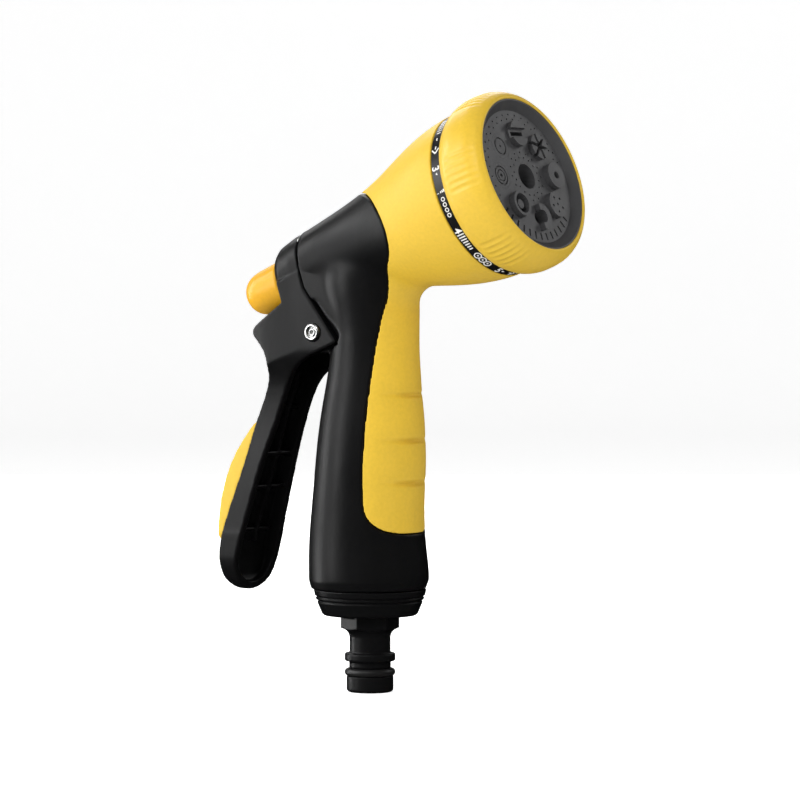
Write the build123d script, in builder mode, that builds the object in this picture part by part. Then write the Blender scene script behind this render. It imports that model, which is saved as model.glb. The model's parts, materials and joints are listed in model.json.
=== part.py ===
from build123d import *
from math import cos, radians, sin
import os

# Hose spray nozzle with a rear trigger and a turning eight-pattern head.
# Millimetres. Origin: centre of the hose nipple's lower end. +Z runs up the handle,
# +X is the spray side, and the model is symmetric about the XZ plane apart from its patterns.

# ---------------------------------------------------------------- driving dimensions
barrel_tilt = 19.5                 # the spray direction rises this many degrees above +X
face_x = 62.5                      # centre of the black face's rim
face_z = 164.2
running = 0.06                     # radial clearance of a shaft in its hole
seated = 0.04                      # clearance between pieces of one body

# Handle: height, centre in X, radius
handle_stations = [
    (33.0, -0.6, 19.1),
    (46.0, -0.9, 18.8),
    (61.0, -0.6, 18.0),
    (76.0, 0.4, 17.5),
    (89.0, 1.0, 16.4),
    (100.0, 1.6, 15.0),
    (112.0, 2.0, 14.2),
    (138.0, 1.0, 13.2),
]
foot_z = handle_stations[0][0]
foot_chamfer = (2.8, 0.8)
cover_thickness = 2.2              # soft yellow cover over the black core
wall = 3.0
neck_fillet = 8.5
finger_groove_heights = [95.0, 80.5, 67.0]
finger_groove_depth = 0.6
finger_groove_radius = 1.1
finger_groove_sweep = 25.0         # wider than the handle, so the grooves fade out at the sides
seam_gap = 0.3

# Barrel, measured along its axis from the face (negative is rearwards): position, radius
barrel_outline = [
    (-18.9, 26.9),
    (-26.0, 26.1),
    (-34.0, 24.3),
    (-42.0, 21.8),
    (-50.0, 19.2),
    (-60.0, 16.7),
    (-70.0, 15.0),
    (-86.0, 13.0),
]
barrel_front = barrel_outline[0][0]
barrel_rear = barrel_outline[-1][0]
core_front = barrel_front - 0.5

# Line between the black housing and the yellow cover, seen from the side: X, Z
seam_points = [
    (-5.0, 158.6),
    (4.0, 158.9),
    (11.0, 157.4),
    (17.6, 152.7),
    (21.2, 146.0),
    (20.4, 140.0),
    (16.0, 134.0),
    (13.2, 125.5),
    (11.2, 115.0),
    (9.6, 101.0),
    (8.7, 81.0),
    (8.4, 63.0),
    (9.6, 56.4),
    (13.6, 52.4),
    (20.0, 51.6),
]

# Valve, along the barrel axis
stem_radius = 2.5
chamber_radius = 8.2
seat_rear = -53.4
seat_front = -49.5
seat_bore = 4.6
front_bore = 9.4
gland_front = -79.0
gland_rear = -92.0
gland_radius = 8.9
spring_rear = -78.8
spring_front = -59.0
spring_turns = 7
spring_coil_radius = 6.4
spring_wire_radius = 0.6

# Fixed outlet block behind the turning head
block_front = -16.2
block_wall_rear = -20.4
block_rear = -31.0
block_radius = 20.6
pocket_radius = 20.7
outlet_bore = 5.0
port_radius = 2.6
port_seal_radius = 4.9
port_seal_depth = 2.2
post_radius = 4.0
post_tip_radius = 3.2
post_shoulder = -10.7
post_tip = -8.9

# Turning head
head_radius = 29.0
cup_radius = 24.8
cup_wall = 1.7
cup_rear = -15.0
plate_radius = 21.8
plate_front = -2.4
plate_rear = -4.4
disc_front = -13.7
disc_rear = -15.9
pattern_circle = 13.7
pattern_radius = 4.2
pattern_count = 8
centre_hole_radius = 4.1
detent_circle = 18.4
detent_ball_radius = 1.5
detent_ball_position = -17.0
dimple_extra = 0.25                # the dimples are this much deeper than the ball's track

# Trigger lever
pivot_x = -12.9
pivot_z = 114.8
rivet_radius = 2.0
rivet_head_radius = 3.1
ear_half_width = 13.2
lug_half_width = 10.0
ear_inner = 10.5
lever_wall = 2.6
collar_front = -86.6
collar_rear = -99.6
knob_front = -100.0
knob_end = -116.6
knob_radius = 7.9

# Hose end
nipple_bore = 4.4
hex_corner_radius = 9.4
hex_turn = -20.0
hex_top = 24.5

# ---------------------------------------------------------------- shared planes and helpers
spray = Vector(cos(radians(barrel_tilt)), 0, sin(radians(barrel_tilt)))
face_centre = Vector(face_x, 0, face_z)
barrel_axis = Axis(face_centre, spray)
barrel_side = Plane(origin=face_centre, x_dir=spray, z_dir=(0, -1, 0))
face_plane = Plane(origin=face_centre, x_dir=(0, 1, 0), z_dir=spray)
pivot = (pivot_x, pivot_z)


def across(position):
    """Plane square to the barrel axis at a position along it: x is +Y, y is up the face."""
    return face_plane.offset(position)


def side_point(position, height):
    """X and Z of a point given along the barrel axis and above it."""
    point = barrel_side.from_local_coords((position, height))
    return (point.X, point.Z)


def turned(profile, plane=barrel_side, axis=barrel_axis, mode=Mode.ADD):
    """Body of revolution from a closed half section of straight lines."""
    with BuildSketch(plane) as section:
        with BuildLine():
            Polyline(*profile, close=True)
        make_face()
    revolve(section.sketch, axis=axis, mode=mode)


def turned_z(profile, mode=Mode.ADD):
    """Body of revolution about Z from a half section of radius and height."""
    turned(profile, Plane.XZ, Axis.Z, mode)


def tube(start, end, outer, inner):
    """Half section of a plain tube on the barrel axis."""
    return [(start, inner), (end, inner), (end, outer), (start, outer)]


def rod(start, end, radius):
    """Half section of a plain rod on the barrel axis."""
    return [(start, 0), (end, 0), (end, radius), (start, radius)]


def pattern_locations():
    """The eight places of the spray patterns, one of them straight up."""
    return PolarLocations(pattern_circle, pattern_count, start_angle=90)


def one_pattern(turn, radius=pattern_circle):
    """One place on the pattern circle, turned from the +Y side of the face."""
    return PolarLocations(radius, 1, start_angle=turn)


def slab(outline, half_width, mode=Mode.ADD):
    """Side-view sketch carried to both sides of the middle plane."""
    extrude(outline.sketch, amount=half_width, both=True, mode=mode)


def side_slabs(points, inner, outer, mode):
    """Side-view outline carried outwards on both sides, from inner to outer."""
    for side in (1, -1):
        with BuildSketch(Plane.XZ.offset(side * inner)) as outline:
            with BuildLine():
                Polyline(*points, close=True)
            make_face()
        extrude(outline.sketch, amount=side * (outer - inner), mode=mode)


def finish(piece, name):
    """Name a finished piece and write it."""
    piece.part.label = name
    export_step(piece.part, f"parts/{name}.step")


os.makedirs("parts", exist_ok=True)


# ---------------------------------------------------------------- outer form shared by housing and cover
def handle_loft(inset, first, last, mode=Mode.ADD):
    """Round handle drawn in by inset, between two of its stations."""
    sections = []
    for height, centre, radius in handle_stations[first:last]:
        with BuildSketch(Plane.XY.offset(height)) as section:
            with Locations((centre, 0)):
                Circle(radius - inset)
        sections.append(section.sketch)
    loft(sections, mode=mode)


def barrel_form(inset, start):
    """Tapered barrel drawn in by inset, from a position near its front to its rear."""
    outline = [(position, radius - inset) for position, radius in barrel_outline]
    outline[0] = (start, outline[0][1])
    with BuildSketch(barrel_side) as section:
        with BuildLine():
            Spline(*outline)
            Polyline(outline[-1], (outline[-1][0], 0), (start, 0), outline[0])
        make_face()
    revolve(section.sketch, axis=barrel_axis)


def handle_front(height):
    """X of the handle's front at a height, between its stations."""
    for (low, centre_0, radius_0), (high, centre_1, radius_1) in zip(handle_stations, handle_stations[1:]):
        if low <= height <= high:
            share = (height - low) / (high - low)
            return (1 - share) * (centre_0 + radius_0) + share * (centre_1 + radius_1)
    return None


def neck_edge(piece):
    """The edge where the handle runs into the underside of the barrel."""
    curved = piece.edges().filter_by(GeomType.BSPLINE)
    wide = curved.filter_by(lambda e: e.bounding_box().size.Y > 20)
    return wide.filter_by(lambda e: e.bounding_box().min.Z > 60)


with BuildPart() as outer_form:
    handle_loft(0, 0, len(handle_stations))
    barrel_form(0, barrel_front)
    fillet(neck_edge(outer_form), neck_fillet)
    foot = outer_form.faces().sort_by(Axis.Z)[0]
    chamfer(foot.edges(), foot_chamfer[0], foot_chamfer[1])

def seam_face(shift):
    """Everything in front of the seam, with the seam moved back and down by shift."""
    seam = [(x - shift, z - shift) for x, z in seam_points]
    with BuildSketch(Plane.XZ) as outline:
        with BuildLine():
            Spline(*seam)
            Polyline(seam[-1], (90, seam[-1][1]), (90, 210), (seam[0][0], 210), seam[0])
        make_face()
    return outline


# ---------------------------------------------------------------- housing
# The ears of the lever lie in recesses beside the lug that carries the pivot.
ear_top = side_point(collar_front, -7.0)
ear_corner = (-3.8, 111.9)
recess_outline = [
    side_point(barrel_rear - 0.2, -6.4),
    (-8.2, 119.1),
    (-2.9, 114.3),
    (-3.1, 111.2),
    (-9.0, 108.6),
    (-16.0, 104.0),
    (-45.0, 104.0),
    (-45.0, 140.0),
    side_point(barrel_rear - 0.2, 0.0),
]
lug_radius = 6.5
web_half_width = 12.9
floor_z = 46.0
stub_radius = 13.0
stub_bore = 10.0
stub_end = 29.65

with BuildPart() as body_shell:
    add(outer_form.part)
    slab(seam_face(seam_gap), 60, mode=Mode.SUBTRACT)
    handle_loft(cover_thickness, 1, len(handle_stations))
    barrel_form(cover_thickness, core_front)
    # flat-sided web between the barrel's rear and the handle, flush with the lever's ears
    with BuildSketch(Plane.XZ) as web:
        with BuildLine():
            Polyline(
                side_point(barrel_rear, 0), side_point(barrel_rear, -12.9), (-19.0, 115.0),
                (-12.0, 108.0), (-3.0, 111.0), (4.0, 112.0), (4.0, 150.0), close=True,
            )
        make_face()
    slab(web, web_half_width)
    side_slabs(recess_outline, lug_half_width, 40, Mode.SUBTRACT)
    # lug between the ears
    with BuildSketch(Plane.XZ) as lug:
        with Locations(pivot):
            Circle(lug_radius)
        with BuildLine():
            Polyline(
                (pivot_x - lug_radius, pivot_z), side_point(barrel_rear, -12.9), (0, 126), (0, 108),
                (pivot_x, pivot_z - lug_radius), close=True,
            )
        make_face()
    slab(lug, lug_half_width)
    with BuildSketch(Plane.XZ) as pivot_hole:
        with Locations(pivot):
            Circle(rivet_radius + seated)
    slab(pivot_hole, lug_half_width + 1, mode=Mode.SUBTRACT)
    # water way up the handle, valve chamber and front pocket
    handle_loft(cover_thickness + wall, 1, len(handle_stations), mode=Mode.SUBTRACT)
    turned(rod(gland_front, seat_rear, chamber_radius), mode=Mode.SUBTRACT)
    turned(rod(barrel_rear, gland_front, gland_radius + seated), mode=Mode.SUBTRACT)
    turned(rod(seat_rear, core_front, front_bore), mode=Mode.SUBTRACT)
    turned(rod(block_rear - 2, core_front, pocket_radius), mode=Mode.SUBTRACT)
    # threaded stub for the base collar
    turned_z([(0, stub_end), (stub_radius, stub_end), (stub_radius, foot_z + 1), (0, foot_z + 1)])
    turned_z([(0, stub_end), (stub_bore, stub_end), (stub_bore, floor_z), (0, floor_z)], Mode.SUBTRACT)
finish(body_shell, "body_shell")

with BuildPart() as barrel_core:
    barrel_form(cover_thickness - seated, core_front)

with BuildPart() as front_grip:
    add(outer_form.part)
    slab(seam_face(0), 60, mode=Mode.INTERSECT)
    handle_loft(cover_thickness - seated, 1, len(handle_stations), mode=Mode.SUBTRACT)
    add(barrel_core.part, mode=Mode.SUBTRACT)
    turned(rod(core_front - 1, 0, barrel_outline[0][1] - cover_thickness + seated), mode=Mode.SUBTRACT)
    for height in finger_groove_heights:
        middle = handle_front(height) - finger_groove_depth + finger_groove_radius
        with BuildSketch(Plane.XZ) as groove:
            with Locations((middle, height)):
                Circle(finger_groove_radius)
        groove_axis = Axis((middle - finger_groove_sweep, 0, 0), (0, 0, 1))
        revolve(groove.sketch, axis=groove_axis, mode=Mode.SUBTRACT)
finish(front_grip, "front_grip")


# ---------------------------------------------------------------- hose end
with BuildPart() as base_collar:
    turned_z([
        (9.0, 24.6), (14.6, 24.6), (15.3, 25.1), (16.9, 28.9), (16.5, 29.0), (16.5, 29.5), (17.1, 29.6),
        (17.4, 30.2), (17.0, 30.3), (17.0, 30.8), (17.6, 30.9), (18.0, 32.8), (13.06, 32.8),
        (13.06, 26.85), (9.0, 26.85),
    ])
finish(base_collar, "base_collar")

with BuildPart() as hose_nipple:
    with BuildSketch(Plane.XY.offset(16.5)) as hexagon:
        RegularPolygon(hex_corner_radius, 6, rotation=hex_turn)
    extrude(hexagon.sketch, amount=hex_top - 16.5)
    with BuildSketch(Plane.XZ) as flare:
        with BuildLine():
            Line((6.55, 16.5), (6.55, 17.0))
            ThreePointArc((6.55, 17.0), (7.25, 19.3), (9.5, 20.4))
            Polyline((9.5, 20.4), (12, 20.4), (12, 16.5), (6.55, 16.5))
        make_face()
    revolve(flare.sketch, axis=Axis.Z, mode=Mode.SUBTRACT)
    turned_z([
        (0, 0), (7.5, 0), (7.5, 5.1), (5.6, 5.1), (5.6, 7.7), (6.65, 7.7), (6.65, 9.9),
        (7.8, 9.9), (8.1, 10.3), (8.1, 12.1), (7.8, 12.5), (6.55, 12.5), (6.55, 17.5), (0, 17.5),
    ])
    turned_z([(0, 24.0), (8.9, 24.0), (8.9, 26.9), (12.6, 26.9), (12.6, 28.0), (0, 28.0)])
    turned_z([(0, 0), (nipple_bore, 0), (nipple_bore, 28), (0, 28)], Mode.SUBTRACT)
finish(hose_nipple, "hose_nipple")


def ring(name, centre, direction, ring_radius, section_radius):
    """O-ring written as a node of its own."""
    with BuildPart() as piece:
        with Locations(Plane(origin=centre, z_dir=direction)):
            Torus(ring_radius, section_radius)
    finish(piece, name)


ring("nipple_o_ring", (0, 0, 6.4), (0, 0, 1), 6.88, 1.22)

with BuildPart() as nipple_washer:
    turned_z([(6.5, 28.05), (12.4, 28.05), (12.4, 29.6), (6.5, 29.6)])
finish(nipple_washer, "nipple_washer")

with BuildPart() as inlet_filter:
    turned_z([(0, 29.7), (9.9, 29.7), (9.9, 31.6), (8.3, 31.6), (8.3, 30.5), (0, 30.5)])
    with BuildSketch(Plane.XY.offset(29.7)) as mesh_holes:
        with HexLocations(0.95, 7, 7):
            Circle(0.6)
    extrude(mesh_holes.sketch, amount=0.8, mode=Mode.SUBTRACT)
finish(inlet_filter, "inlet_filter")


# ---------------------------------------------------------------- valve
with BuildPart() as valve_seat:
    turned([
        (seat_rear + 0.3, seat_bore), (seat_front, seat_bore), (seat_front, 9.3), (-50.6, 9.3), (-50.6, 8.0),
        (-52.2, 8.0), (-52.2, 9.3), (seat_rear + 0.02, 9.3), (seat_rear + 0.02, 6.4), (seat_rear - 0.6, 5.8),
        (seat_rear - 0.6, 5.0),
    ])
finish(valve_seat, "valve_seat")
ring("seat_o_ring", face_centre + spray * -51.4, spray, 8.72, 0.65)

disc_seal_front = seat_rear - 0.65
with BuildPart() as valve_disc:
    turned(tube(disc_seal_front - 2.4, disc_seal_front, 6.8, stem_radius + seated))
finish(valve_disc, "valve_disc")

with BuildPart() as disc_retainer:
    turned(tube(disc_seal_front + 0.05, disc_seal_front + 2.6, 3.9, stem_radius + seated))
finish(disc_retainer, "disc_retainer")

with BuildPart() as spring_plate:
    turned(tube(disc_seal_front - 4.4, disc_seal_front - 2.45, 7.2, stem_radius + seated))
finish(spring_plate, "spring_plate")

with BuildPart() as valve_stem:
    turned(rod(-112.0, disc_seal_front + 3.2, stem_radius))
finish(valve_stem, "valve_stem")


def coil(name, start, length, turns, coil_radius, wire_radius):
    """Compression spring whose axis runs forward along the barrel from its start point."""
    with BuildPart() as piece:
        with BuildLine() as path:
            Helix(length / turns, length, coil_radius, center=start, direction=spray)
        with BuildSketch(Plane(origin=path.line @ 0, z_dir=path.line % 0)) as wire:
            Circle(wire_radius)
        sweep(wire.sketch, path=path.line)
    finish(piece, name)


coil(
    "valve_spring", face_centre + spray * (spring_rear + spring_wire_radius),
    spring_front - spring_rear - 2 * spring_wire_radius,
    spring_turns, spring_coil_radius, spring_wire_radius,
)

with BuildPart() as gland_nut:
    turned([
        (gland_front, stem_radius + running), (gland_front, gland_radius), (barrel_rear, gland_radius),
        (gland_rear, 7.6), (gland_rear, stem_radius + running), (-85.0, stem_radius + running),
        (-85.0, 4.6), (-83.0, 4.6), (-83.0, stem_radius + running),
    ])
    for turn in range(4):
        with BuildSketch(across(gland_rear)) as spanner_slot:
            with PolarLocations(7.4, 1, start_angle=turn * 90 + 45):
                Rectangle(2.4, 2.4)
        extrude(spanner_slot.sketch, amount=3.0, mode=Mode.SUBTRACT)
finish(gland_nut, "gland_nut")
ring("stem_o_ring", face_centre + spray * -84.0, spray, stem_radius + running + 0.98, 0.96)

with BuildPart() as gland_washer:
    turned(tube(barrel_rear - 0.65, barrel_rear - 0.05, 9.9, gland_radius + seated))
finish(gland_washer, "gland_washer")

with BuildPart() as flow_knob:
    with BuildSketch(barrel_side) as knob_section:
        with BuildLine():
            Polyline((-112.2, 0), (-112.2, stem_radius + seated), (knob_front, stem_radius + seated))
            Polyline((knob_front, stem_radius + seated), (knob_front, knob_radius - 0.6),
                     (knob_front - 0.6, knob_radius), (-109.5, knob_radius - 0.6))
            Spline((-109.5, knob_radius - 0.6), (-115.2, 4.9), (knob_end, 0),
                   tangents=[(-1, -0.1), (0, -1)])
            Line((knob_end, 0), (-112.2, 0))
        make_face()
    revolve(knob_section.sketch, axis=barrel_axis)
finish(flow_knob, "flow_knob")


# ---------------------------------------------------------------- fixed outlet block and its small parts
with BuildPart() as outlet_block:
    turned([
        (seat_front + 0.1, outlet_bore), (block_rear + 1.4, outlet_bore), (block_rear + 1.4, 16.0),
        (block_wall_rear, 16.0), (block_wall_rear, 0), (post_tip, 0), (post_tip, post_tip_radius),
        (post_shoulder, post_tip_radius), (post_shoulder, post_radius), (block_front, post_radius),
        (block_front, 23.4), (core_front + 0.05, 23.4), (core_front + 0.05, block_radius),
        (block_rear, block_radius), (block_rear, front_bore - 0.1), (seat_front + 0.1, front_bore - 0.1),
    ])
    with BuildSketch(across(block_front)) as port:
        with one_pattern(90):
            Circle(port_radius)
    extrude(port.sketch, amount=block_wall_rear - block_front, mode=Mode.SUBTRACT)
    with BuildSketch(across(block_front)) as seal_pocket:
        with one_pattern(90):
            Circle(port_seal_radius)
    extrude(seal_pocket.sketch, amount=-port_seal_depth, mode=Mode.SUBTRACT)
    with BuildSketch(across(block_front)) as detent_hole:
        with one_pattern(-90, detent_circle):
            Circle(detent_ball_radius + running)
    extrude(detent_hole.sketch, amount=-10.0, mode=Mode.SUBTRACT)
    turned(rod(post_tip - 8, post_tip, 1.3), mode=Mode.SUBTRACT)
finish(outlet_block, "outlet_block")

with BuildPart() as outlet_seal:
    with BuildSketch(across(block_front - port_seal_depth)) as seal_outline:
        with one_pattern(90):
            Circle(port_seal_radius - seated)
            Circle(port_radius, mode=Mode.SUBTRACT)
    extrude(seal_outline.sketch, amount=port_seal_depth + 0.25)
finish(outlet_seal, "outlet_seal")

detent_point = face_plane.from_local_coords((0, -detent_circle, detent_ball_position))
with BuildPart() as detent_ball:
    with Locations(detent_point):
        Sphere(detent_ball_radius)
finish(detent_ball, "detent_ball")
coil("detent_spring", detent_point + spray * -8.7, 6.8, 5, 1.05, 0.32)

with BuildPart() as head_washer:
    turned(tube(post_tip + 0.02, post_tip + 0.7, 4.02, 1.45))
finish(head_washer, "head_washer")

with BuildPart() as head_screw:
    turned([
        (post_tip - 7.5, 0), (post_tip - 7.5, 1.25), (post_tip + 0.72, 1.25), (post_tip + 0.72, 3.0),
        (post_tip + 1.9, 3.0), (post_tip + 2.6, 2.2), (post_tip + 2.6, 0),
    ])
    with BuildSketch(across(post_tip + 2.6)) as cross_recess:
        Rectangle(3.4, 0.8)
        Rectangle(0.8, 3.4)
    extrude(cross_recess.sketch, amount=-1.3, mode=Mode.SUBTRACT)
finish(head_screw, "head_screw")


# ---------------------------------------------------------------- turning head
def face_feature(turn, start, height, draw, mode=Mode.ADD):
    """Carry one pattern's sketch forward from a position on the barrel axis."""
    with BuildSketch(across(start)) as outline:
        with one_pattern(turn):
            draw()
    extrude(outline.sketch, amount=height, mode=mode)


fine_hole_radius = 0.32
# Rows of fine holes: radius, how many, first angle, span
fine_hole_rows = [
    (6.3, 16, 11, 360),
    (7.9, 16, 0, 360),
    (18.9, 22, 0, 210),
    (20.4, 22, 5, 210),
]
drain_circle = 19.8
drain_count = 13

def arch_cut():
    """Lower half of the arch's boss, which leaves a hood over its opening."""
    with Locations((0, -3.2)):
        Rectangle(9, 5)


insert_turns = {"soak_insert": 180, "mist_insert": 135, "cone_insert": -135}
boss_turns = [90, 45, 0, -45, -90]

with BuildPart() as pattern_plate:
    turned([
        (0, cup_radius), (0, cup_radius - 0.5), (plate_front, plate_radius),
        (plate_front, centre_hole_radius),
        (post_shoulder + 1.6, centre_hole_radius), (post_shoulder + 1.6, post_tip_radius + running),
        (post_shoulder + 0.1, post_tip_radius + running), (post_shoulder + 0.1, post_radius + running),
        (disc_front + 0.05, post_radius + running), (disc_front + 0.05, 6.4), (plate_rear, 6.4),
        (plate_rear, cup_radius - cup_wall), (cup_rear, cup_radius - cup_wall), (cup_rear, cup_radius),
    ])
    # tubes that carry the water from each port to its pattern
    with BuildSketch(across(disc_front + 0.05)) as duct_walls:
        with pattern_locations():
            Circle(pattern_radius + 0.9)
    extrude(duct_walls.sketch, amount=plate_rear - disc_front)
    with BuildSketch(across(disc_front + 0.05)) as ducts:
        with pattern_locations():
            Circle(pattern_radius - 0.6)
    extrude(ducts.sketch, amount=plate_rear - disc_front - 0.05, mode=Mode.SUBTRACT)
    # seats of the pressed-in inserts
    for turn in insert_turns.values():
        face_feature(turn, plate_rear, 5, lambda: Circle(pattern_radius), Mode.SUBTRACT)
    # raised spray bosses
    for turn, height in zip(boss_turns, [1.9, 1.7, 2.1, 2.1, 1.9]):
        face_feature(turn, plate_front, height, lambda: Circle(pattern_radius))
    # flat fan: one long slot in a boss cut away at an angle
    face_feature(90, -5, 8, lambda: Rectangle(1.3, 6.4), Mode.SUBTRACT)
    face_feature(90, plate_front + 0.7, 3, lambda: SlotOverall(9.5, 3.4, rotation=90), Mode.SUBTRACT)
    # full fan: slots between fins
    for turn in (0, 60, 120):
        face_feature(45, plate_front, 4, lambda: Rectangle(9, 1.1, rotation=turn), Mode.SUBTRACT)
    face_feature(45, -5, 8, lambda: Circle(1.5), Mode.SUBTRACT)
    # jet and shower
    face_feature(0, -5, 8, lambda: Circle(1.2), Mode.SUBTRACT)
    with BuildSketch(across(-5)) as shower_holes:
        with one_pattern(-45):
            with PolarLocations(2.5, 5, start_angle=18):
                Circle(0.45)
            Circle(0.45)
    extrude(shower_holes.sketch, amount=8, mode=Mode.SUBTRACT)
    # arch: half boss over a round opening
    face_feature(-90, -5, 8, lambda: Circle(2.1), Mode.SUBTRACT)
    face_feature(-90, plate_front, 4, lambda: arch_cut(), Mode.SUBTRACT)
    # fine shower holes round the centre and along the upper rim, drain slots along the lower rim
    with BuildSketch(across(plate_rear - 1)) as fine_holes:
        for radius, count, first, span in fine_hole_rows:
            with PolarLocations(radius, count, start_angle=first, angular_range=span):
                Circle(fine_hole_radius)
        with PolarLocations(drain_circle, drain_count, start_angle=-145, angular_range=110):
            SlotOverall(2.6, 0.7)
    extrude(fine_holes.sketch, amount=4, mode=Mode.SUBTRACT)
finish(pattern_plate, "pattern_plate")


def ring_outline(outer, inner):
    """Flat ring drawn in the current sketch."""
    Circle(outer)
    Circle(inner, mode=Mode.SUBTRACT)


with BuildPart() as soak_insert:
    face_feature(180, plate_rear, plate_front - plate_rear, lambda: Circle(pattern_radius - seated))
    face_feature(180, plate_front - 0.45, 1, lambda: ring_outline(3.2, 2.7), Mode.SUBTRACT)
    face_feature(180, plate_front - 0.45, 1, lambda: ring_outline(2.0, 1.6), Mode.SUBTRACT)
    face_feature(180, plate_rear, 4, lambda: Circle(0.6), Mode.SUBTRACT)
finish(soak_insert, "soak_insert")

with BuildPart() as mist_insert:
    face_feature(135, plate_rear, plate_front - plate_rear, lambda: Circle(pattern_radius - seated))
    face_feature(135, plate_front - 0.45, 1, lambda: ring_outline(2.9, 2.4), Mode.SUBTRACT)
    face_feature(135, plate_rear, 4, lambda: Circle(0.4), Mode.SUBTRACT)
finish(mist_insert, "mist_insert")

cone_height = 2.1
cone_depth = plate_front - plate_rear + cone_height


def cone_feed():
    """Two curved openings that let the water into the cone's ring slot."""
    ring_outline(2.9, 1.9)
    Rectangle(9, 1.2, mode=Mode.SUBTRACT)


with BuildPart() as cone_insert:
    face_feature(-135, plate_rear, cone_depth, lambda: Circle(pattern_radius - seated))
    face_feature(-135, plate_front - 0.9, cone_height + 2, lambda: ring_outline(3.2, 1.5), Mode.SUBTRACT)
    face_feature(-135, plate_front + cone_height - 0.8, 2, lambda: Circle(1.6), Mode.SUBTRACT)
    face_feature(-135, plate_rear - 1, 3, cone_feed, Mode.SUBTRACT)
finish(cone_insert, "cone_insert")

with BuildPart() as port_disc:
    turned(tube(disc_rear, disc_front, cup_radius - cup_wall - seated, post_radius + running + 0.02))
    with BuildSketch(across(disc_rear)) as ports:
        with pattern_locations():
            Circle(port_radius - 0.2)
    extrude(ports.sketch, amount=5, mode=Mode.SUBTRACT)
    with Locations(face_plane.location):
        with PolarLocations(detent_circle, pattern_count, start_angle=90):
            with Locations((0, 0, detent_ball_position + dimple_extra)):
                Sphere(detent_ball_radius + running, mode=Mode.SUBTRACT)
    # shallow track that the ball follows between the dimples
    with BuildSketch(barrel_side) as track:
        with Locations((detent_ball_position, detent_circle)):
            Circle(detent_ball_radius + running)
    revolve(track.sketch, axis=barrel_axis, mode=Mode.SUBTRACT)
finish(port_disc, "port_disc")

bezel_outline = [
    (-15.5, 26.7),
    (-13.4, 28.1),
    (-10.5, 28.9),
    (-7.5, head_radius),
    (-4.0, 28.6),
    (-1.2, 27.3),
    (0.5, 25.4),
]
band_front = bezel_outline[0][0] - 0.1
band_sleeve = -12.2
with BuildPart() as dial_bezel:
    with BuildSketch(barrel_side) as bezel_section:
        with BuildLine():
            Spline(*bezel_outline)
            Polyline(
                bezel_outline[-1], (0.3, cup_radius + seated), (band_sleeve, cup_radius + seated),
                (band_sleeve, cup_radius + 0.6), (bezel_outline[0][0], cup_radius + 0.6),
                bezel_outline[0],
            )
        make_face()
    revolve(bezel_section.sketch, axis=barrel_axis)
finish(dial_bezel, "dial_bezel")

with BuildPart() as index_ring:
    turned([
        (band_sleeve - 0.05, cup_radius + 0.05), (band_sleeve - 0.05, cup_radius + 0.55),
        (band_front, cup_radius + 0.55), (band_front, 26.5), (barrel_front + 0.3, 26.6),
        (barrel_front + 0.3, cup_radius + 0.05),
    ])
finish(index_ring, "index_ring")


# ---------------------------------------------------------------- trigger lever
lever_front_edge = [
    (-3.8, 111.9), (-9.5, 109.4), (-16.0, 107.0), (-24.0, 101.8), (-29.3, 92.0), (-32.8, 83.0),
    (-35.8, 75.0), (-40.5, 60.0), (-43.6, 49.5), (-46.6, 38.5),
]
lever_rear_edge = [
    (-52.8, 39.5), (-52.2, 46.5), (-50.4, 53.5), (-47.0, 63.0), (-42.8, 75.2), (-39.2, 87.0),
    (-35.8, 95.0), (-33.6, 101.8), (-33.6, 106.0), (-36.4, 110.4), (-39.2, 112.9),
]
# Half width of the lever at each height, seen from the front
lever_widths = [
    (13.2, 135.0), (13.2, 110.2), (12.4, 106.5), (9.6, 101.0), (8.4, 95.0), (8.5, 85.0),
    (9.5, 75.0), (10.6, 61.0), (11.4, 50.0), (11.6, 42.3),
]


def front_outline(inset):
    """Closed front-view outline of the lever with its round end, drawn in by inset."""
    end_radius, end_height = lever_widths[-1]
    end_radius -= inset
    with BuildSketch(Plane.YZ) as outline:
        with BuildLine():
            edge = [(width - inset, height) for width, height in lever_widths[1:]]
            top = (lever_widths[0][0] - inset, lever_widths[0][1])
            tip = (0, end_height - end_radius)
            Spline(*edge, tangents=[(0, -1), (0, -1)])
            RadiusArc(edge[-1], tip, end_radius)
            Polyline(edge[0], top, (0, top[1]), tip)
        make_face()
        mirror(about=Plane.YZ)
    return outline


def horn_taper(inset):
    """Cuts both sides of the lever's upper rear, narrowing it rearwards, drawn in by inset."""
    for side in (1, -1):
        near = side * (ear_half_width + 0.1 - inset)
        far = side * (8.0 - inset)
        with BuildSketch(Plane.XY.offset(98)) as taper:
            with BuildLine():
                Spline((-14, near), (-30, side * (11.9 - inset)), (-45, far),
                       tangents=[(-1, 0), (-1, -0.35 * side)])
                Polyline((-45, far), (-45, side * 20), (-14, side * 20), (-14, near))
            make_face()
        extrude(taper.sketch, amount=40, mode=Mode.SUBTRACT)


with BuildPart() as lever_form:
    with BuildSketch(Plane.XZ) as lever_outline:
        with BuildLine():
            Spline(*lever_front_edge)
            Polyline(
                lever_front_edge[-1], (-46.9, 34.5), (-48.2, 30.0), (-51.2, 30.0), (-52.6, 34.5),
                lever_rear_edge[0],
            )
            Spline(*lever_rear_edge)
            Spline(lever_rear_edge[-1], (-40.2, 114.6), (-38.8, 116.9))
            Polyline(
                (-38.8, 116.9), side_point(collar_rear + 2.5, -8.0),
                side_point(collar_rear + 2.5, -1.0), side_point(collar_front, -1.0),
                ear_top, ear_corner,
            )
        make_face()
    slab(lever_outline, 20)
    extrude(front_outline(0).sketch, amount=80, both=True, mode=Mode.INTERSECT)
    horn_taper(0)

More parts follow.
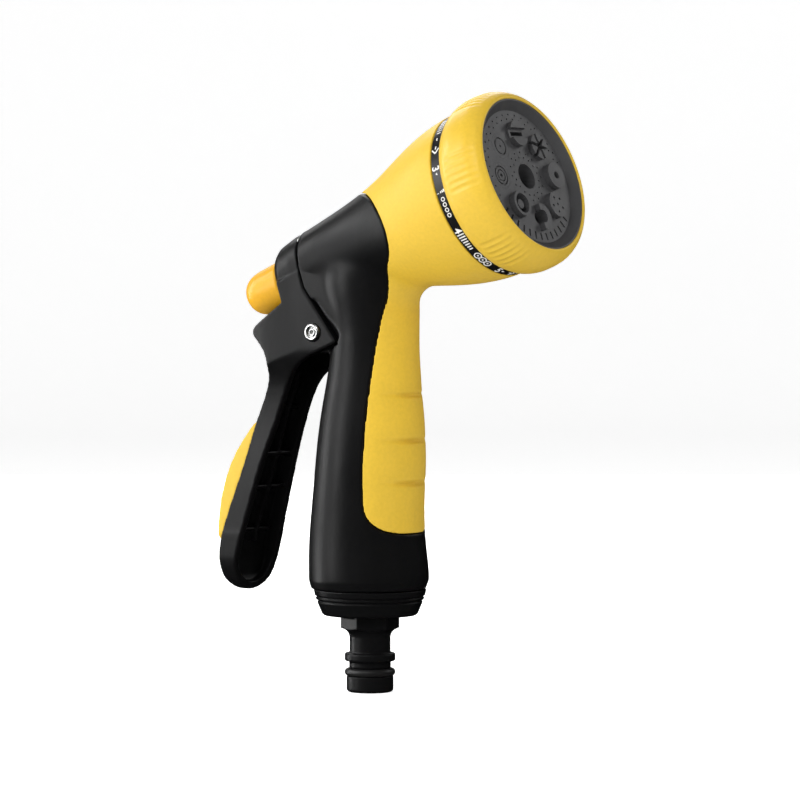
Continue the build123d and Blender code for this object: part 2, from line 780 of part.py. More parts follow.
lever_cavity = [
    (20, 150), side_point(-95.5, 6), side_point(-95.5, -9.5), (-33.6, 116.6), (-34.2, 114.0),
    (-30.8, 109.0), (-30.6, 102.0), (-32.9, 95.5), (-36.3, 87.0), (-40.0, 75.0), (-44.2, 62.5),
    (-47.6, 53.0), (-49.3, 46.5), (-50.0, 40.5), (-49.8, 35.5), (-48.6, 31.0), (-40, 31.0), (20, 60),
]
rib_line = lever_cavity[6:13]
rib_height = 3.0
rib_thickness = 1.3
cross_rib_heights = [90.5, 75.5, 64.5, 50.5]

with BuildPart() as lever_hollow:
    with BuildSketch(Plane.XZ) as hollow_outline:
        with BuildLine():
            Polyline(*lever_cavity, close=True)
        make_face()
    slab(hollow_outline, ear_inner)
    extrude(front_outline(lever_wall).sketch, amount=80, both=True, mode=Mode.INTERSECT)
    horn_taper(2.2)

with BuildPart() as trigger_lever:
    add(lever_form.part)
    # collar round the valve stem
    turned([
        (collar_front, 0), (collar_front, 12.9), (-90.5, 12.5), (-96.2, 11.4), (-98.2, 10.2),
        (-98.8, 8.7), (collar_rear, 8.4), (collar_rear, 0),
    ])
    add(lever_hollow.part, mode=Mode.SUBTRACT)
    turned([
        (-97.0, 0), (-97.0, 8.6), (-94.5, 10.2), (collar_front + 1, 10.2), (collar_front + 1, 0),
    ], mode=Mode.SUBTRACT)
    turned(rod(collar_rear - 1, -96, 6.0), mode=Mode.SUBTRACT)
    # stiffening ribs inside the channel
    with BuildSketch(Plane.XZ) as long_rib:
        with BuildLine():
            raised = [(x + rib_height, z) for x, z in reversed(rib_line)]
            Polyline(*[(x - 0.5, z) for x, z in rib_line], *raised, close=True)
        make_face()
    slab(long_rib, rib_thickness / 2)
    for height in cross_rib_heights:
        floor = [x for x, z in rib_line if z <= height][0]
        with BuildSketch(Plane.XZ) as cross_rib:
            with Locations((floor + 1.0, height)):
                Rectangle(rib_height + 2, rib_thickness)
        extrude(cross_rib.sketch, amount=7.0, both=True)
    # pivot hole through both ears
    with BuildSketch(Plane.XZ) as ear_hole:
        with Locations(pivot):
            Circle(rivet_radius + running)
    slab(ear_hole, 20, mode=Mode.SUBTRACT)
finish(trigger_lever, "trigger_lever")

pad_bulge = [
    (-39.2, 87.6), (-44.6, 81.0), (-48.4, 75.0), (-51.2, 68.5), (-53.1, 61.5), (-53.9, 55.0), (-53.9, 49.5),
    (-52.9, 45.5),
]
with BuildPart() as lever_pad:
    with BuildSketch(Plane.XZ) as pad_outline:
        with BuildLine():
            Spline(*pad_bulge)
            Polyline(pad_bulge[-1], (-50, 45.5), (-46.5, 56), (-37.5, 84), pad_bulge[0])
        make_face()
    slab(pad_outline, 20)
    extrude(front_outline(0.9).sketch, amount=80, both=True, mode=Mode.INTERSECT)
    add(lever_form.part, mode=Mode.SUBTRACT)
finish(lever_pad, "lever_pad")

with BuildPart() as pivot_rivet:
    with BuildSketch(Plane.XZ) as shank:
        with Locations(pivot):
            Circle(rivet_radius)
    slab(shank, ear_half_width + 0.3)
    for side in (1, -1):
        with BuildSketch(Plane.XZ.offset(side * (ear_half_width + 0.12))) as rivet_head:
            with Locations(pivot):
                Circle(rivet_head_radius)
        extrude(rivet_head.sketch, amount=side * 0.9)
        with BuildSketch(Plane.XZ.offset(side * (ear_half_width + 1.02))) as rivet_hollow:
            with Locations(pivot):
                Circle(1.3)
        extrude(rivet_hollow.sketch, amount=-side * 1.6, mode=Mode.SUBTRACT)
    rims = pivot_rivet.edges().filter_by(GeomType.CIRCLE).filter_by(lambda e: e.radius > 3)
    fillet(rims.filter_by(lambda e: abs(e.center().Y) > ear_half_width + 0.6), 0.5)
finish(pivot_rivet, "pivot_rivet")
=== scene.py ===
import json
import math

import bmesh
import bpy
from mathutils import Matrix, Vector

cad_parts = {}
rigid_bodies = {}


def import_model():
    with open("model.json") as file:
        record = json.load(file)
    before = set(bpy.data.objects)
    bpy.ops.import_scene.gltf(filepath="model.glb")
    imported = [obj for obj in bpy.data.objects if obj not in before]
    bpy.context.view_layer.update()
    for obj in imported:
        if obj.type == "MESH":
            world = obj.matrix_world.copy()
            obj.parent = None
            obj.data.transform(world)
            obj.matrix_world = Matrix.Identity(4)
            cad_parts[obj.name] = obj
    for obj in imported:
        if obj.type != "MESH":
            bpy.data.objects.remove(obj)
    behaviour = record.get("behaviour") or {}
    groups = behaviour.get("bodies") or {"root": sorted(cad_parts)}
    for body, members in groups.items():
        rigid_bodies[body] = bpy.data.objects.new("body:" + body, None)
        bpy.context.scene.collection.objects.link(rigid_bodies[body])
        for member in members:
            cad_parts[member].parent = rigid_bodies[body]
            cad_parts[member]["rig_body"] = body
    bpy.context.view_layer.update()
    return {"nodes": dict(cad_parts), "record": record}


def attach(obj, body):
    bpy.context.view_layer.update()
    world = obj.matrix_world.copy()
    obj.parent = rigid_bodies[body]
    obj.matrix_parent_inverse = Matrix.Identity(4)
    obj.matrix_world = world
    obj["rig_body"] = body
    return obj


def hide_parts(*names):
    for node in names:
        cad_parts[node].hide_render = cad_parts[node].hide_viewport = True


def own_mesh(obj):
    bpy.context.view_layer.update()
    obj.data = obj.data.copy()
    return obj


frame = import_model()
nodes = frame["nodes"]
slot_of = {part["node"]: part["material_slot"] for part in frame["record"]["subparts"]}

MM = 0.001
TILT = math.radians(19.5)
FACE = Vector((62.5, 0.0, 164.2)) * MM
SPRAY = Vector((math.cos(TILT), 0.0, math.sin(TILT)))
UP_FACE = Vector((-math.sin(TILT), 0.0, math.cos(TILT)))
ACROSS = Vector((0.0, 1.0, 0.0))


# ---------------------------------------------------------------- materials
class Shader:
    """A small helper round one node tree, so that each finish reads as a short recipe."""

    def __init__(self, name):
        self.material = bpy.data.materials.new(name)
        self.material.use_nodes = True
        self.tree = self.material.node_tree
        self.bsdf = self.tree.nodes["Principled BSDF"]
        self.coords = self.node("ShaderNodeTexCoord")

    def node(self, kind, **values):
        made = self.tree.nodes.new(kind)
        for key, value in values.items():
            setattr(made, key, value)
        return made

    def link(self, a, b):
        self.tree.links.new(a, b)

    def noise(self, scale, detail=4.0, rough=0.55, stretch=None):
        """Noise over the piece's own coordinates; scale is features per metre."""
        made = self.node("ShaderNodeTexNoise")
        made.inputs["Scale"].default_value = scale
        made.inputs["Detail"].default_value = detail
        made.inputs["Roughness"].default_value = rough
        source = self.coords.outputs["Object"]
        if stretch:
            mapping = self.node("ShaderNodeMapping")
            mapping.inputs["Scale"].default_value = stretch
            self.link(source, mapping.inputs["Vector"])
            source = mapping.outputs["Vector"]
        self.link(source, made.inputs["Vector"])
        return made.outputs["Fac"]

    def cells(self, scale, smooth=0.3):
        made = self.node("ShaderNodeTexVoronoi", feature="SMOOTH_F1")
        made.inputs["Scale"].default_value = scale
        made.inputs["Smoothness"].default_value = smooth
        self.link(self.coords.outputs["Object"], made.inputs["Vector"])
        return made.outputs["Distance"]

    def ramp(self, source, stops):
        made = self.node("ShaderNodeValToRGB")
        ramp = made.color_ramp
        while len(ramp.elements) < len(stops):
            ramp.elements.new(0.5)
        for element, (place, colour) in zip(ramp.elements, stops):
            element.position = place
            element.color = (*colour, 1.0)
        self.link(source, made.inputs["Fac"])
        return made.outputs["Color"]

    def spread(self, source, low, high):
        made = self.node("ShaderNodeMapRange")
        made.inputs["From Min"].default_value = 0.3
        made.inputs["From Max"].default_value = 0.7
        made.inputs["To Min"].default_value = low
        made.inputs["To Max"].default_value = high
        self.link(source, made.inputs["Value"])
        return made.outputs["Result"]

    def bump(self, source, depth, before=None):
        made = self.node("ShaderNodeBump")
        made.inputs["Strength"].default_value = 1.0
        made.inputs["Distance"].default_value = depth * MM
        self.link(source, made.inputs["Height"])
        if before is not None:
            self.link(before, made.inputs["Normal"])
        return made.outputs["Normal"]


def shade(colour, factor):
    return tuple(min(1.0, channel * factor) for channel in colour)


def plastic(name, colour, rough, grain_mm=0.35, grain_depth=0.012, blotch=0.10, scuff=0.06,
            specular=0.5, coat=0.0, worn=None):
    """Moulded plastic or rubber: a fine sparked grain, slow colour drift and handling scuffs."""
    s = Shader(name)
    drift = s.noise(28.0, 3.0)
    dark, light = shade(colour, 1 - blotch), shade(colour, 1 + blotch)
    base = s.ramp(drift, [(0.32, dark), (0.68, light)])
    speck = s.noise(900.0, 2.0)
    mix = s.node("ShaderNodeMix", data_type="RGBA", blend_type="MULTIPLY")
    mix.inputs["Factor"].default_value = 1.0
    s.link(base, mix.inputs["A"])
    s.link(s.ramp(speck, [(0.3, (0.93, 0.93, 0.93)), (0.7, (1.0, 1.0, 1.0))]), mix.inputs["B"])
    final = mix.outputs["Result"]
    if worn is not None:
        rub = s.noise(55.0, 6.0, 0.7, (1.0, 1.0, 0.45))
        worn_mix = s.node("ShaderNodeMix", data_type="RGBA")
        s.link(s.ramp(rub, [(0.60, (0, 0, 0)), (0.78, (0.28, 0.28, 0.28))]), worn_mix.inputs["Factor"])
        s.link(final, worn_mix.inputs["A"])
        worn_mix.inputs["B"].default_value = (*worn, 1.0)
        final = worn_mix.outputs["Result"]
    s.link(final, s.bsdf.inputs["Base Color"])
    smear = s.noise(70.0, 5.0, 0.65, (1.0, 1.0, 0.5))
    s.link(s.spread(smear, rough - scuff, rough + scuff), s.bsdf.inputs["Roughness"])
    grain = s.cells(1.0 / (grain_mm * MM))
    long_wave = s.bump(s.noise(45.0, 2.0), 0.10)
    s.link(s.bump(grain, grain_depth, long_wave), s.bsdf.inputs["Normal"])
    s.bsdf.inputs["Specular IOR Level"].default_value = specular
    s.bsdf.inputs["Coat Weight"].default_value = coat
    s.bsdf.inputs["Coat Roughness"].default_value = 0.22
    return s.material


def metal(name, colour, rough):
    """Turned or drawn metal with fine tool marks and slight tarnish."""
    s = Shader(name)
    tarnish = s.noise(220.0, 5.0)
    s.link(s.ramp(tarnish, [(0.3, shade(colour, 0.86)), (0.7, colour)]), s.bsdf.inputs["Base Color"])
    marks = s.noise(2600.0, 3.0, 0.6)
    s.link(s.spread(marks, rough * 0.75, rough * 1.35), s.bsdf.inputs["Roughness"])
    s.link(s.bump(marks, 0.004), s.bsdf.inputs["Normal"])
    s.bsdf.inputs["Metallic"].default_value = 1.0
    return s.material


YELLOW = (0.70, 0.455, 0.035)
finishes = {
    "black_shell": plastic("black_shell_look", (0.0045, 0.0045, 0.0048), 0.40, 0.30, 0.010,
                           0.10, 0.05, 0.20, worn=(0.012, 0.012, 0.0125)),
    "black_inner": plastic("black_inner_look", (0.008, 0.008, 0.009), 0.45, specular=0.25),
    "yellow_cover": plastic("yellow_cover_look", YELLOW, 0.50, 0.40, 0.014, 0.035, 0.05, 0.4,
                            worn=(0.62, 0.40, 0.045)),
    "yellow_bezel": plastic("yellow_bezel_look", (0.72, 0.47, 0.038), 0.42, 0.30, 0.008, 0.03, 0.05, 0.45,
                            coat=0.08),
    "orange_knob": plastic("orange_knob_look", (0.71, 0.365, 0.012), 0.38, 0.30, 0.006, 0.04, 0.05, 0.4,
                           coat=0.05),
    "grey_plate": plastic("grey_plate_look", (0.058, 0.058, 0.060), 0.44, 0.22, 0.010, 0.08, 0.05, 0.45),
    "band_black": plastic("band_black_look", (0.008, 0.008, 0.009), 0.34, 0.25, 0.004, 0.08, 0.04, 0.35),
    "seal_rubber": plastic("seal_rubber_look", (0.010, 0.010, 0.010), 0.42, 0.20, 0.006, 0.10, 0.08, 0.5),
    "steel": metal("steel_look", (0.82, 0.82, 0.81), 0.30),
    "spring_steel": metal("spring_steel_look", (0.62, 0.61, 0.59), 0.28),
    "brass": metal("brass_look", (0.72, 0.50, 0.22), 0.26),
    "filter_plastic": plastic("filter_plastic_look", (0.62, 0.62, 0.58), 0.45, 0.3, 0.006),
}
print_white = plastic("print_white_look", (0.80, 0.80, 0.78), 0.5, 0.15, 0.003, 0.06, 0.05)


def dress(piece, material):
    piece.data.materials.clear()
    piece.data.materials.append(material)


for node_name, node in nodes.items():
    dress(node, finishes[slot_of[node_name]])


# ---------------------------------------------------------------- mesh helpers
def mesh_piece(name, vertices, faces, material, body, slot, replaced=(), smooth=True):
    """A finished piece from vertices in metres: dressed and riding on its body; its slot is not used."""
    mesh = bpy.data.meshes.new(name)
    mesh.from_pydata([tuple(v) for v in vertices], [], faces)
    mesh.validate()
    mesh.update()
    piece = bpy.data.objects.new(name, mesh)
    bpy.context.scene.collection.objects.link(piece)
    if smooth:
        mesh.polygons.foreach_set("use_smooth", [True] * len(mesh.polygons))
    return settle(piece, material, body, replaced)


def settle(piece, material, body, replaced=()):
    dress(piece, material)
    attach(piece, body)
    if replaced:
        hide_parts(*replaced)
    return piece


def apply_modifiers(piece):
    """Bakes a piece's modifiers into its mesh."""
    graph = bpy.context.evaluated_depsgraph_get()
    mesh = bpy.data.meshes.new_from_object(piece.evaluated_get(graph))
    piece.modifiers.clear()
    piece.data = mesh


def softened(node_name, name, voxel_mm, steps):
    """The CAD piece with its hard corners rounded, as a moulding has them: remeshed fine, then relaxed."""
    source = nodes[node_name]
    piece = bpy.data.objects.new(name, source.data.copy())
    bpy.context.scene.collection.objects.link(piece)
    remesh = piece.modifiers.new("remesh", "REMESH")
    remesh.mode = "VOXEL"
    remesh.voxel_size = voxel_mm * MM
    relax = piece.modifiers.new("relax", "SMOOTH")
    relax.factor = 0.5
    relax.iterations = steps
    bpy.context.view_layer.update()
    apply_modifiers(piece)
    piece.data.polygons.foreach_set("use_smooth", [True] * len(piece.data.polygons))
    slot = slot_of[node_name]
    return settle(piece, finishes[slot], nodes[node_name]["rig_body"], [node_name])


# ---------------------------------------------------------------- pieces
def barrel_point(position, radius, turn):
    """A point round the barrel axis: millimetres along it from the face, radius, angle from +Y upwards."""
    return FACE + (SPRAY * position + (ACROSS * math.cos(turn) + UP_FACE * math.sin(turn)) * radius) * MM


def curve_through(points, steps):
    """Smooth line through points, by Catmull-Rom, with some steps between neighbours."""
    padded = [points[0], *points, points[-1]]
    line = []
    for a, b, c, d in zip(padded, padded[1:], padded[2:], padded[3:]):
        for k in range(steps):
            t = k / steps
            line.append(tuple(
                0.5 * (2 * q + (r - p) * t + (2 * p - 5 * q + 4 * r - s) * t * t
                       + (3 * q - p - 3 * r + s) * t ** 3)
                for p, q, r, s in zip(a, b, c, d)
            ))
    line.append(tuple(points[-1]))
    return line


def revolved(profile, segments, place):
    """Closed ring from a closed profile of (along, radius); place makes a vertex of a point and angle."""
    vertices, faces = [], []
    count = len(profile)
    for k in range(segments):
        turn = 2 * math.pi * k / segments
        vertices.extend(place(along, radius, turn) for along, radius in profile)
    for k in range(segments):
        here, there = k * count, (k + 1) % segments * count
        for i in range(count):
            j = (i + 1) % count
            faces.append((here + i, here + j, there + j, there + i))
    return vertices, faces


def outward(piece):
    """Turns the piece's faces outward."""
    work = bmesh.new()
    work.from_mesh(piece.data)
    bmesh.ops.recalc_face_normals(work, faces=work.faces)
    work.to_mesh(piece.data)
    work.free()


# Bezel: rounded ring with six groups of shallow flutes for the fingers
BEZEL_LINE = [
    (-15.5, 26.7), (-13.4, 28.1), (-10.5, 28.9), (-7.5, 29.0), (-4.0, 28.6), (-1.2, 27.3), (0.25, 25.9),
]
BEZEL_INSIDE = [
    (0.5, 25.4), (0.47, 25.05), (0.3, 24.86), (-6.0, 24.86), (-12.2, 24.86), (-12.2, 25.4),
    (-15.35, 25.4), (-15.5, 25.6),
]
BEZEL_SEGMENTS = 672
FLUTED_FROM = 26.0                  # only the outside of the ring, past this radius, is fluted
FLUTE_GROUPS = 6
FLUTE_FIRST = math.radians(174)
FLUTES = 6
FLUTE_PITCH = math.radians(4.3)
FLUTE_DEPTH = 0.28
FLUTE_MIDDLE = -7.0
FLUTE_HALF_LENGTH = 5.6


def flute(position, turn):
    """How far the bezel is cut in at a place."""
    group = 2 * math.pi / FLUTE_GROUPS
    offset = (turn - FLUTE_FIRST + group / 2) % group - group / 2
    if abs(offset) > FLUTES / 2 * FLUTE_PITCH:
        return 0.0
    wave = 0.5 - 0.5 * math.cos(2 * math.pi * offset / FLUTE_PITCH)
    fade = max(0.0, 1.0 - ((position - FLUTE_MIDDLE) / FLUTE_HALF_LENGTH) ** 2)
    return FLUTE_DEPTH * wave ** 0.7 * fade ** 0.5


def bezel_place(position, radius, turn):
    cut = flute(position, turn) if radius > FLUTED_FROM else 0.0
    return barrel_point(position, radius - cut, turn)


bezel_profile = curve_through(BEZEL_LINE, 5) + BEZEL_INSIDE
bezel = mesh_piece("bezel_ring", *revolved(bezel_profile, BEZEL_SEGMENTS, bezel_place),
                   finishes["yellow_bezel"], "head", "yellow_bezel", ["dial_bezel"])
outward(bezel)

# Marks printed on the index band: eight numbers, each with its own plain sign
BAND_RADIUS = 26.56
BAND_MIDDLE = -17.1
MARK_HEIGHT = 2.6
PRINT_THICKNESS = 0.05
MARKS = 8
MARK_LEAD = 18                      # degrees that each group of marks starts before its place
FIRST_SIGN = 2.4                    # along the band from the start of the group
SECOND_SIGN = 10.2


def on_band(x, y, lift, start):
    return barrel_point(BAND_MIDDLE + y, BAND_RADIUS + lift, start + x / BAND_RADIUS)


def ring_lines(x, y, outer, inner):
    """Outer and inner outlines of a round sign."""
    steps = [2 * math.pi * k / 20 for k in range(20)]
    lines = [[(x + outer * math.cos(t), y + outer * math.sin(t)) for t in steps]]
    if inner:
        lines.append([(x + inner * math.cos(t), y + inner * math.sin(t)) for t in steps])
    return lines


def bar(x0, y0, x1, y1, width):
    """Outline of a straight stroke."""
    dx, dy = x1 - x0, y1 - y0
    size = math.hypot(dx, dy)
    nx, ny = -dy / size * width / 2, dx / size * width / 2
    return [(x0 + nx, y0 + ny), (x1 + nx, y1 + ny), (x1 - nx, y1 - ny), (x0 - nx, y0 - ny)]


def sign(kind):
    """Outlines of one pattern's sign, in millimetres from its left end."""
    h = MARK_HEIGHT / 2
    lines = []
    if kind == 0:
        lines = ring_lines(h, 0, h, h - 0.4) + ring_lines(3 * h + 0.4, 0, h, h - 0.4)
        lines += [bar(4.6 + 1.1 * k, -h, 4.6 + 1.1 * k, h, 0.44) for k in range(3)]
    elif kind == 1:
        for k in range(5):
            for row in (-0.6, 0.0, 0.6):
                lines += ring_lines(0.4 + 1.25 * k, row * (1 if k % 2 else 0.8), 0.24, 0)
    elif kind == 2:
        lines = [bar(0, 0, 6.6, y, 0.4) for y in (-h, -h / 2, 0, h / 2, h)]
    elif kind == 3:
        lines = [bar(k * 0.95, -h + 0.1 * k, k * 0.95, h - 0.1 * k, 0.42) for k in range(7)]
    elif kind == 4:
        lines = [bar(0, 0, 4.6, 0, 0.46), bar(4.6, h, 6.2, 0, 0.46), bar(4.6, -h, 6.2, 0, 0.46)]
    elif kind == 5:
        for k in range(4):
            lines += ring_lines(0.8 + 1.75 * k, 0, 0.72, 0.44)
    elif kind == 6:
        for k in range(3):
            lines += ring_lines(h + 2.35 * k, 0, h, h - 0.36) + ring_lines(h + 2.35 * k, 0, 0.3, 0)
    else:
        lines = [bar(0, 0, 6.0, h, 0.42), bar(0, 0, 6.0, -h, 0.42), bar(6.0, -h, 6.0, h, 0.42)]
    return lines


def flat_curve(lines):
    """Filled outline shapes as a mesh with a little thickness, in millimetres."""
    shape = bpy.data.curves.new("outline", "CURVE")
    shape.dimensions = "2D"
    shape.fill_mode = "BOTH"
    shape.extrude = PRINT_THICKNESS / 2
    for line in lines:
        spline = shape.splines.new("POLY")
        spline.points.add(len(line) - 1)
        for point, (x, y) in zip(spline.points, line):
            point.co = (x, y, 0, 1)
        spline.use_cyclic_u = True
    return meshed(shape)


def number_curve(number):
    text = bpy.data.curves.new("number", "FONT")
    text.body = str(number)
    text.size = MARK_HEIGHT * 1.42
    text.extrude = PRINT_THICKNESS / 2
    text.offset = 0.07
    return meshed(text)


def meshed(shape):
    """Vertices and faces of a curve, and the curve removed."""
    holder = bpy.data.objects.new("outline", shape)
    bpy.context.scene.collection.objects.link(holder)
    mesh = bpy.data.meshes.new_from_object(holder.evaluated_get(bpy.context.evaluated_depsgraph_get()))
    work = bmesh.new()
    work.from_mesh(mesh)
    bmesh.ops.remove_doubles(work, verts=work.verts, dist=0.002)
    bmesh.ops.triangulate(work, faces=work.faces)
    work.to_mesh(mesh)
    work.free()
    vertices = [tuple(v.co) for v in mesh.vertices]
    faces = [tuple(p.vertices) for p in mesh.polygons]
    bpy.data.objects.remove(holder)
    bpy.data.meshes.remove(mesh)
    return vertices, faces


mark_vertices, mark_faces = [], []
for place in range(MARKS):
    start = math.radians(90 + 360 / MARKS * place - MARK_LEAD)
    for (vertices, faces), shift, drop in (
        (number_curve(place + 1), 0.0, -MARK_HEIGHT / 2),
        (flat_curve(sign(place)), FIRST_SIGN, 0.0),
        (flat_curve(sign((place + 3) % MARKS)), SECOND_SIGN, 0.0),
    ):
        base = len(mark_vertices)
        for x, y, z in vertices:
            mark_vertices.append(on_band(x + shift, y + drop, z + PRINT_THICKNESS / 2, start))
        mark_faces += [tuple(base + i for i in face) for face in faces]
mesh_piece("band_marks", mark_vertices, mark_faces, print_white, "head", "band_black", smooth=False)

# Rivet: rolled rim round a hollow shank, on both sides
RIVET_HALF = [
    (13.32, 2.0), (13.34, 3.08), (13.5, 3.05), (13.85, 2.85), (14.1, 2.5), (14.2, 2.2), (14.16, 1.95),
    (13.95, 1.75), (13.55, 1.62), (13.45, 1.5), (13.6, 1.36), (13.78, 1.2), (13.84, 0.95), (13.8, 0.7),
    (13.6, 0.5), (13.2, 0.42), (13.0, 0.0),
]
RIVET_PROFILE = [(-along, radius) for along, radius in reversed(RIVET_HALF)] + RIVET_HALF
PIVOT = Vector((-12.9, 0.0, 114.8)) * MM


def rivet_place(along, radius, turn):
    return PIVOT + Vector((radius * math.cos(turn), along, radius * math.sin(turn))) * MM


rivet = mesh_piece("rivet_rolled", *revolved(RIVET_PROFILE, 64, rivet_place),
                   finishes["steel"], "body", "steel", ["pivot_rivet"])
work = bmesh.new()
work.from_mesh(rivet.data)
bmesh.ops.remove_doubles(work, verts=work.verts, dist=0.000005)
bmesh.ops.dissolve_degenerate(work, edges=work.edges, dist=0.000001)
bmesh.ops.recalc_face_normals(work, faces=work.faces)
work.to_mesh(rivet.data)
work.free()


# Wire: the two springs, and a small clip in the gap behind the barrel
WIRE_AROUND = 30                    # steps to a turn
WIRE_SIDES = 10


def coiled(start, length, turns, coil_radius, wire_radius, drop=0.0, first_turn=0.0):
    """Wire wound round an axis along the barrel: its end turns lie closer together than the others."""
    sides = WIRE_SIDES
    steps = max(8, round(turns * WIRE_AROUND))
    vertices, faces = [], []
    for k in range(steps + 1):
        share = k / steps
        along = start + length * (share - 0.06 * math.sin(2 * math.pi * share))
        turn = first_turn + 2 * math.pi * turns * share
        for j in range(sides):
            phi = 2 * math.pi * j / sides
            position = along + wire_radius * math.sin(phi)
            radius = coil_radius + wire_radius * math.cos(phi)
            vertices.append(barrel_point(position, radius, turn) - UP_FACE * drop * MM)
    for k in range(steps):
        for j in range(sides):
            i = (j + 1) % sides
            faces.append((k * sides + j, k * sides + i, (k + 1) * sides + i, (k + 1) * sides + j))
    faces.append(tuple(range(sides)))
    faces.append(tuple(reversed(range(steps * sides, (steps + 1) * sides))))
    return vertices, faces


spring = mesh_piece("valve_coil", *coiled(-78.2, 18.6, 7, 6.4, 0.6), finishes["spring_steel"],
                    "body", "spring_steel", ["valve_spring"])
outward(spring)
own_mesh(spring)
click_spring = mesh_piece("detent_coil", *coiled(-25.7, 6.8, 5, 1.05, 0.32, 18.4),
                          finishes["spring_steel"], "body", "spring_steel", ["detent_spring"])
outward(click_spring)
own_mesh(click_spring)
clip = mesh_piece("stem_clip", *coiled(-86.3, 0.0, 0.24, 12.95, 0.26, 0.0, math.radians(50)),
                  finishes["steel"], "body", "steel")
outward(clip)

# Moulded pieces, each from its CAD node
shell = softened("body_shell", "shell_moulded", 0.37, 6)
cover = softened("front_grip", "grip_cover", 0.33, 6)


def blended(piece, low, high, margin, rounds):
    """Relaxes the mesh in a box of millimetres, fading over a margin, so that two forms flow together."""
    work = bmesh.new()
    work.from_mesh(piece.data)
    inside = []
    for vertex in work.verts:
        room = min(min(vertex.co[k] / MM - low[k], high[k] - vertex.co[k] / MM) for k in range(3))
        if room > 0:
            inside.append((vertex, min(1.0, room / margin)))
    for _ in range(rounds):
        targets = []
        for vertex, weight in inside:
            ring = [edge.other_vert(vertex).co for edge in vertex.link_edges]
            middle = sum(ring, Vector()) / len(ring)
            targets.append(vertex.co.lerp(middle, 0.6 * weight))
        for (vertex, _), target in zip(inside, targets):
            vertex.co = target
    work.to_mesh(piece.data)
    work.free()


def eased(value):
    """Smooth step from 0 to 1."""
    value = max(0.0, min(1.0, value))
    return value * value * (3 - 2 * value)


# The web behind the handle runs into it without a corner: its flat sides are filled out to one
# gentle slope, and the join is relaxed.
WEB_BOTTOM = 112.0
WEB_FRONT = 4.0
for vertex in shell.data.vertices:
    x, y, z = (value / MM for value in vertex.co)
    height = (Vector(vertex.co) - FACE).dot(UP_FACE) / MM
    if abs(y) > 12.2 and -20 < x < WEB_FRONT and z > WEB_BOTTOM and height < 1:
        filled = 13.05 + 0.95 * eased((x + 13) / 14)
        weight = eased((z - WEB_BOTTOM) / 9) * eased((WEB_FRONT - x) / 4)
        if abs(y) < filled:
            vertex.co.y = math.copysign(abs(y) + (filled - abs(y)) * weight, y) * MM
for near, far in ((-18.0, -11.2), (11.2, 18.0)):
    blended(shell, (-13.5, near, WEB_BOTTOM), (7.5, far, 151), 2.5, 60)

# narrow creases between the fingers, deepest at the front of the grip
CREASE_HEIGHTS = (95.0, 80.5, 67.0)
CREASE_DEPTH = 0.7
CREASE_WIDTH = 0.7
CREASE_REACH = 0.8                  # radians from the front
CREASE_SLOPE = 0.6
SWELL = 0.18                        # the cover stands out this much between the creases
for vertex in cover.data.vertices:
    x, y, z = (value / MM for value in vertex.co)
    turn = math.atan2(y, x)
    if x > 10.0 and abs(turn) < CREASE_REACH:
        fade = math.cos(turn / CREASE_REACH * math.pi / 2)
        level = z - CREASE_SLOPE * abs(turn)
        cut = sum(math.exp(-((level - height) / CREASE_WIDTH) ** 2) for height in CREASE_HEIGHTS)
        swell = sum(math.exp(-((z - height - 7.0) / 4.0) ** 2) for height in CREASE_HEIGHTS)
        scale = 1 - (CREASE_DEPTH * cut - SWELL * swell) * fade / math.hypot(x, y)
        vertex.co.x *= scale
        vertex.co.y *= scale
cover.data.update()

softened("trigger_lever", "lever_body", 0.38, 6)
pad = softened("lever_pad", "lever_pad_soft", 0.40, 6)

# rounded ends for the pad, drawn in towards the middle plane
PAD_ENDS = ((83.5, 88.2), (49.5, 44.8))
PAD_NARROWING = 0.72
for vertex in pad.data.vertices:
    for begin, end in PAD_ENDS:
        along = (vertex.co.z / MM - begin) / (end - begin)
        if along > 0:
            vertex.co.y *= math.sqrt(1 - PAD_NARROWING * min(1.0, along) ** 2)
pad.data.update()

softened("flow_knob", "knob_cap", 0.35, 6)
softened("base_collar", "collar_ribbed", 0.20, 2)
nipple = softened("hose_nipple", "nipple_moulded", 0.24, 3)
# the tip's outer corner is rounded, to lead into the connector
TIP_RADIUS = 7.5 * MM
TIP_ROUND = 1.1 * MM
for vertex in nipple.data.vertices:
    below = TIP_ROUND - vertex.co.z
    reach = math.hypot(vertex.co.x, vertex.co.y)
    if below > 0 and reach > TIP_RADIUS / 2:
        limit = TIP_RADIUS - TIP_ROUND + math.sqrt(max(0.0, TIP_ROUND ** 2 - min(below, TIP_ROUND) ** 2))
        if reach > limit:
            vertex.co.x *= limit / reach
            vertex.co.y *= limit / reach
nipple.data.update()

# ---------------------------------------------------------------- studio
scene = bpy.context.scene
scene.view_settings.view_transform = "Standard"
VIEW_TURN = math.radians(36.48)
back = Vector((math.sin(VIEW_TURN), -math.cos(VIEW_TURN), 0.0))
right = Vector((math.cos(VIEW_TURN), math.sin(VIEW_TURN), 0.0))

